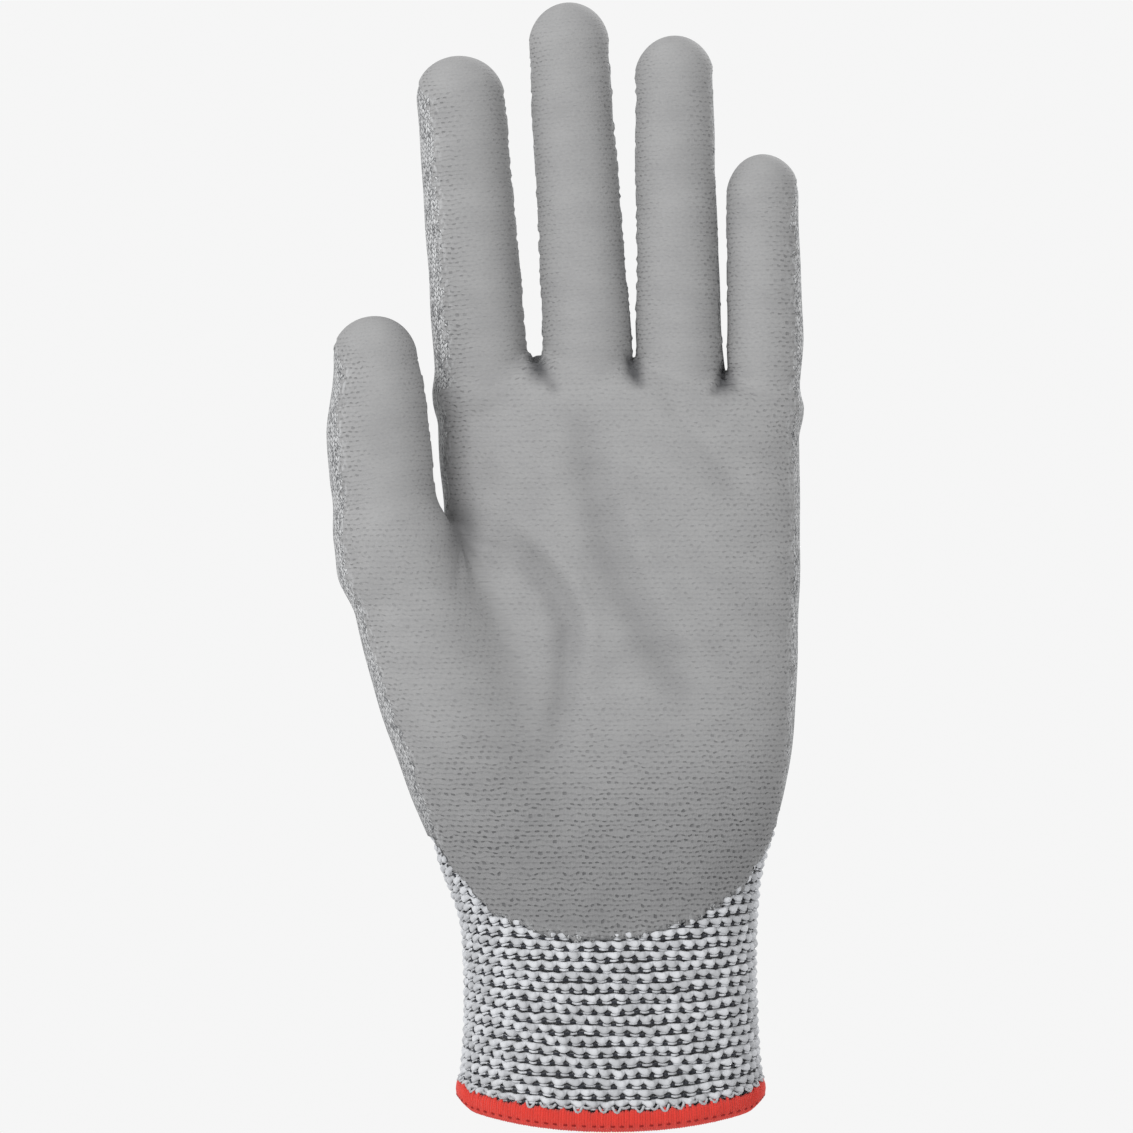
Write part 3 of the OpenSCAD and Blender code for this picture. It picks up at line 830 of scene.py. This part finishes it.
def cuff_x(share, z=3.0):
    """Where the cuff is from left to right at a share of the way round."""
    return cuff_points(share, np.full(share.shape, z))[0][..., 0]


# The cuff's loops: rows, height of a row, height of the first, loops round, steps in a loop
CUFF_ROWS, ROW, FIRST_ROW, CUFF_WALES, LOOP_STEPS = 26, 2.25, 6.1, 56, 12
# The cuff's yarns: sides, height off the row's middle, rise, way out, swing, radius, its swing, flatness
CUFF_YARNS = {
    "light": (7, 0.0, 0.24, -0.44, 0.32, 0.67, 0.14, 0.72),
    "float": (5, -1.12, 0.07, -0.44, 0.30, 0.25, 0.02, 0.9),
    "dark": (5, -1.12, 0.0, -0.62, -0.22, 0.23, -0.07, 0.9)}


def make_cuff_loops():
    """Courses of plump light loops, with a thin float between and dark yarn in the gaps."""
    steps = CUFF_WALES * LOOP_STEPS
    turn = np.broadcast_to(np.arange(steps) / LOOP_STEPS, (CUFF_ROWS, steps))
    row = np.arange(CUFF_ROWS)[:, None] + np.zeros((1, steps))
    wale = np.floor(turn)
    t = turn * 2 * np.pi
    x0 = cuff_x(turn[:1] / CUFF_WALES, 20.0)[0]
    slope = 0.26 * smoothstep(-14, -30, x0)[None]
    for number, (kind, values) in enumerate(CUFF_YARNS.items()):
        sides, up, rise, depth, swing, radius, plump, flat = values
        seed = number * 31.0
        jitter, slip, size = (hashed(wale, row, seed + n) - 0.5 for n in (1.0, 2.0, 6.0))
        blend_in = np.sin(t / 2) ** 2                       # 0 where one stitch meets the next
        u = turn + 0.16 * blend_in * slip + 0.25 * np.sin(row * 2.4 + turn * 0.35)
        z_mid = FIRST_ROW + ROW * row
        z = z_mid + up + rise * np.cos(t) - slope * np.sin(t) + 0.30 * blend_in * jitter
        z = z + 0.16 * np.sin(turn * 0.9 + row * 1.3) + 0.10 * np.sin(turn * 2.1 - row)
        z = z + hem_line(x0)[None] * np.clip(1 - z_mid / 60, 0, 1) ** 1.1
        out = depth - swing * np.cos(t) + 0.16 * blend_in * (hashed(wale, row, seed + 4.0) - 0.5)
        if kind == "float":
            out = out - 0.5 * blend_in * (hashed(wale, row, 77.0) > 0.88)
        p, g = cuff_points(u / CUFF_WALES, z)
        c = p + g * out[..., None]
        r = radius - plump * np.cos(t) + 0.14 * radius * blend_in * size
        pts, quads, uv = ring_tube(c, g, r, sides, flat=flat)
        loop_top = EDGE_TOP + 1.5
        top = np.where(c[..., 1] < 0, np.minimum(film_edge(c[..., 0]) + 1.2, loop_top), loop_top)
        keep = ~(c[..., 2] > top).reshape(-1)[quads[:, 0] // sides]
        quads, uv = quads[keep], uv[keep]
        used, inverse = np.unique(quads, return_inverse=True)
        tone = 0.5 + 0.5 * np.sin(hashed(wale, row, 8.0) * 9 + t * 0.5)
        obj = new_mesh(f"cuff_{kind}_yarn", pts[used], inverse.reshape(quads.shape))
        uv[..., 0] /= LOOP_STEPS
        corner_uv(obj, "yarn", uv)
        point_values(obj, "tone", np.repeat(tone.reshape(-1), sides)[used])
        if kind == "float":
            mat = bpy.data.materials["light_yarn"]
        else:
            mat = yarn_material(f"{kind}_yarn", LIGHT if kind == "light" else DARK, 0.42)
        obj.data.materials.append(mat)
        rest_on(obj, "cuff")
        if kind == "light":
            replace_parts(obj, "cuff_knit", "wrist_fold")


# The hem: ribs of thread round it, and their path over the edge as height and way out
HEM_RIBS, HEM_TOP = 320, 4.6
HEM_PROFILE = np.array([
    [4.5, -0.1], [4.2, 0.12], [3.4, 0.26], [2.5, 0.24], [1.7, 0.05], [1.1, -0.25],
    [0.6, -0.7], [0.38, -1.2], [0.7, -1.75], [1.6, -1.95], [2.8, -1.95], [3.9, -1.6]])
EDGE_LOOPS, NEEDLE_STITCHES = 64, 88


def make_hem_binding():
    """Red thread wrapped over the raw edge."""
    rib, zero, one = np.arange(HEM_RIBS), np.zeros(HEM_RIBS), np.ones(HEM_RIBS)
    up, out = HEM_PROFILE.T
    share = np.broadcast_to(((rib + 0.5) / HEM_RIBS)[:, None], (HEM_RIBS, len(up)))
    jag = (hashed(rib, zero, 5) - 0.5)[:, None] * np.clip((up - 2.5) / 2, 0, 1) * 0.9
    lean = (hashed(rib, zero, 7) - 0.5)[:, None] * 0.4 / HEM_RIBS
    z = up[None] + jag + hem_line(cuff_x(share))
    p, g = cuff_points(share + lean * (up[None] / HEM_TOP), z)
    outward = g * np.cos(np.linspace(-0.3, math.pi, len(up)))[None, :, None]
    outward[..., 2] -= np.sin(np.linspace(0.0, math.pi, len(up)))[None]
    r = np.full(share.shape, 0.40) * (1 + 0.14 * (hashed(rib, one, 2) - 0.5))[:, None]
    r[:, 0] = 0.24
    pts, quads, uv = ring_tube(p + g * out[None, :, None], outward, r, 6, closed=False)
    hem = new_mesh("hem_binding", pts, quads)
    corner_uv(hem, "yarn", uv)
    point_values(hem, "tone", np.repeat(hashed(rib, zero, 9), len(up) * 6))
    hem.data.materials.append(yarn_material("hem_thread", RED, 0.12))
    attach(hem, "cuff")
    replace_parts(hem, "hem_overlock")


def make_edge_loops():
    """A few light loops of the last course, which lie over the binding."""
    loop, one = np.arange(EDGE_LOOPS), np.ones(EDGE_LOOPS)
    t = np.linspace(-1, 1, 7)[None] + np.zeros((EDGE_LOOPS, 1))
    start = (loop + 0.95 * hashed(loop, one, 12))[:, None] / EDGE_LOOPS
    drop = (0.1 + 1.3 * hashed(loop, one, 13))[:, None]
    share = start + t * 0.30 / CUFF_WALES
    p, g = cuff_points(share, hem_line(cuff_x(share)) + 5.4 - drop * (1 - t ** 2))
    centre = p + g * (0.42 - 0.6 * t[..., None] ** 2)
    pts, quads, uv = ring_tube(centre, g, 0.30 + 0 * t, 5, closed=False)
    loops = new_mesh("hem_edge_loops", pts, quads)
    corner_uv(loops, "yarn", uv)
    point_values(loops, "tone", np.full(len(pts), 0.8))
    loops.data.materials.append(bpy.data.materials["light_yarn"])
    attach(loops, "cuff")


def make_needle_stitches():
    """The line of needle stitches along the hem."""
    stitch, one = np.arange(NEEDLE_STITCHES), np.ones(NEEDLE_STITCHES)
    t = np.linspace(-1, 1, 6)[None] + np.zeros((NEEDLE_STITCHES, 1))
    start = (stitch + 0.2 * hashed(stitch, one, 22))[:, None] / NEEDLE_STITCHES
    share = start + t * 0.26 / NEEDLE_STITCHES
    p, g = cuff_points(share, hem_line(cuff_x(share)) + 1.25)
    centre = p + g * (0.22 - 0.30 * t[..., None] ** 2)
    thin = 0.24 * np.sqrt(np.clip(1.05 - t ** 2, 0.02, 1))
    pts, quads, _ = ring_tube(centre, g, thin, 6, closed=False)
    chain = new_mesh("hem_needle_stitches", pts, quads)
    chain.data.materials.append(material("needle_thread", DEEP_RED, 0.8))
    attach(chain, "cuff")
    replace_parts(chain, "hem_chain_stitch")


# The lining: name, body, lowest and highest point; columns round it, and the height of a row
LININGS = (("cuff_lining", "cuff", 1.2, CUFF_TOP), ("palm_lining", "palm", CUFF_TOP, 158.0))
LINING_COLS, LINING_ROW, LINING_WALES = 96, 3, 130


def make_lining():
    """The inside face of the knit, seen through the wrist opening."""
    mat = material("lining", LINING, 0.95)
    n = Nodes(mat)
    u, v = n.uv("yarn")
    pattern = n.math("MULTIPLY", n.math("SINE", n.math("MULTIPLY", u, FULL_TURN)),
                     n.math("SINE", n.math("MULTIPLY", v, FULL_TURN)))
    color = n.mix(n.ramp(pattern, -0.6, 0.5), LINING_LOW, LINING_HIGH)
    n.put(n.bsdf.inputs["Base Color"], color)
    n.bump(pattern, 0.0002)
    for name, body, low, high in LININGS:
        rows, cols = int((high - low) / LINING_ROW) + 2, LINING_COLS
        share, z = np.meshgrid(np.arange(cols + 1) / cols, np.linspace(low, high, rows), indexing="ij")
        if body == "cuff":
            z = z + hem_line(cuff_x(share)) * np.clip(1 - z / 30, 0, 1)
        p, g = cuff_points(share, z)
        p = p - g * (1.35 + 2.6 * smoothstep(60, 80, z))[..., None]
        i, j = np.meshgrid(np.arange(cols), np.arange(rows - 1), indexing="ij")
        here, beyond = i * rows + j, (i + 1) % cols * rows + j
        quads = np.stack([here, here + 1, beyond + 1, beyond], -1)
        obj = new_mesh(name, p[:-1].reshape(-1, 3), quads.reshape(-1, 4))
        left, right = i * LINING_WALES / cols, (i + 1) * LINING_WALES / cols
        below, above = j * LINING_ROW / COURSE, (j + 1) * LINING_ROW / COURSE
        corner_uv(obj, "yarn", np.stack([np.stack(corner, -1) for corner in (
            (left, below), (left, above), (right, above), (right, below))], -2))
        obj.data.materials.append(mat)
        rest_on(obj, body)


make_skin()
make_cuff_loops()
make_hem_binding()
make_edge_loops()
make_needle_stitches()
make_lining()
elastic = frame["nodes"]["cuff_elastic_yarns"]
elastic.data.materials.clear()
elastic.data.materials.append(material("elastic_yarn", ELASTIC, 0.6))

# ---------------------------------------------------------------- floor, light and camera, in metres
FLOOR_SIZE, FLOOR_Z = 10.2, -0.55     # large and low, so that its edge stays out of every view
WORLD_STRENGTH = 0.92
LOOK_AT = (0, 0, 0.12)
CAMERA_AT = (-0.0095, -1.212, 0.120)
SENSOR, VIEW_WIDTH, DISTANCE = 36, 242.4, 1200     # the view is VIEW_WIDTH mm wide at DISTANCE mm

bpy.ops.mesh.primitive_plane_add(size=FLOOR_SIZE, location=(0, 0, FLOOR_Z))
floor = bpy.context.object
floor.name = "floor"
floor.data.materials.append(material("floor", FLOOR, 0.9))

world = bpy.context.scene.world or bpy.data.worlds.new("World")
bpy.context.scene.world = world
world.use_nodes = True
background = world.node_tree.nodes["Background"]
background.inputs["Color"].default_value = (1, 1, 1, 1)
background.inputs["Strength"].default_value = WORLD_STRENGTH


def area_light(name, place, size, power):
    data = bpy.data.lights.new(name, "AREA")
    data.size, data.energy = size, power
    obj = bpy.data.objects.new(name, data)
    bpy.context.scene.collection.objects.link(obj)
    obj.location = place
    obj.rotation_euler = (Vector(LOOK_AT) - Vector(place)).to_track_quat("-Z", "Y").to_euler()


area_light("key", (-0.75, -1.0, 0.95), 0.6, 15.0)
area_light("rim", (0.6, 0.8, 0.7), 0.5, 8.0)

camera_data = bpy.data.cameras.new("camera")
camera = bpy.data.objects.new("camera", camera_data)
bpy.context.scene.collection.objects.link(camera)
bpy.context.scene.camera = camera
camera_data.sensor_width = SENSOR
camera_data.lens = SENSOR * DISTANCE / VIEW_WIDTH
camera.location = CAMERA_AT
camera.rotation_euler = (math.pi / 2, 0, 0)
bpy.context.scene.view_settings.view_transform = "Standard"
